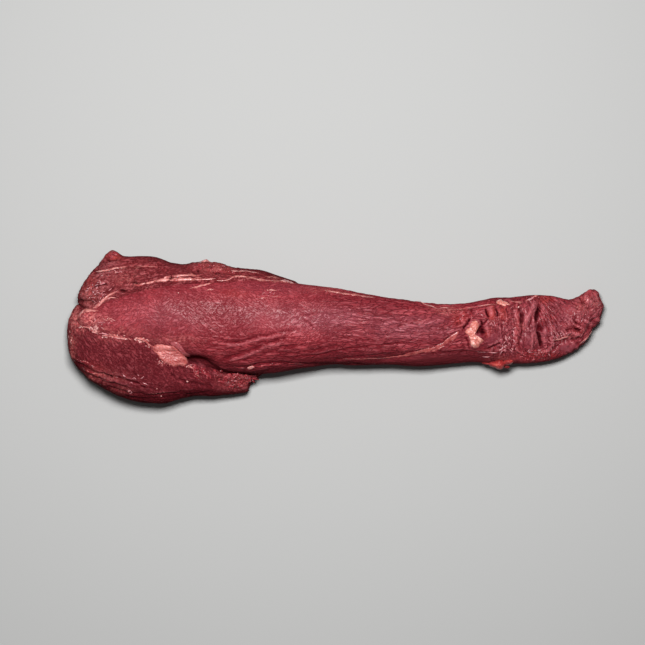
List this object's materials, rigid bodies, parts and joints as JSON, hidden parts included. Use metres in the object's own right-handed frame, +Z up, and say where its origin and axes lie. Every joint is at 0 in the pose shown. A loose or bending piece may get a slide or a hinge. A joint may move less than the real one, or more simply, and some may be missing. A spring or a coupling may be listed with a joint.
{
  "type": "raw beef tenderloin",
  "caption": "Whole raw beef tenderloin: a long tapering cut with a thick three-lobed head, a folded thin tail, and fat and sinew in its seams.",
  "frame": {"origin": "middle of the footprint, on the surface that the cut lies on", "axes": "+Z up; +X along the cut towards its thin tail; +Y towards the back edge, where the side strap lies"},
  "size_m": [0.537, 0.1524, 0.0643],
  "materials": {
    "lean_meat": "moist dark red muscle, fine lengthwise fibres, satin gloss with small wet highlights",
    "fat": "soft pale pink fat, waxy, slightly moist",
    "sinew": "pale pink connective tissue, smooth and wet"
  },
  "bodies": {
    "root": {"tenderloin": "lean_meat"}
  },
  "joints": []
}
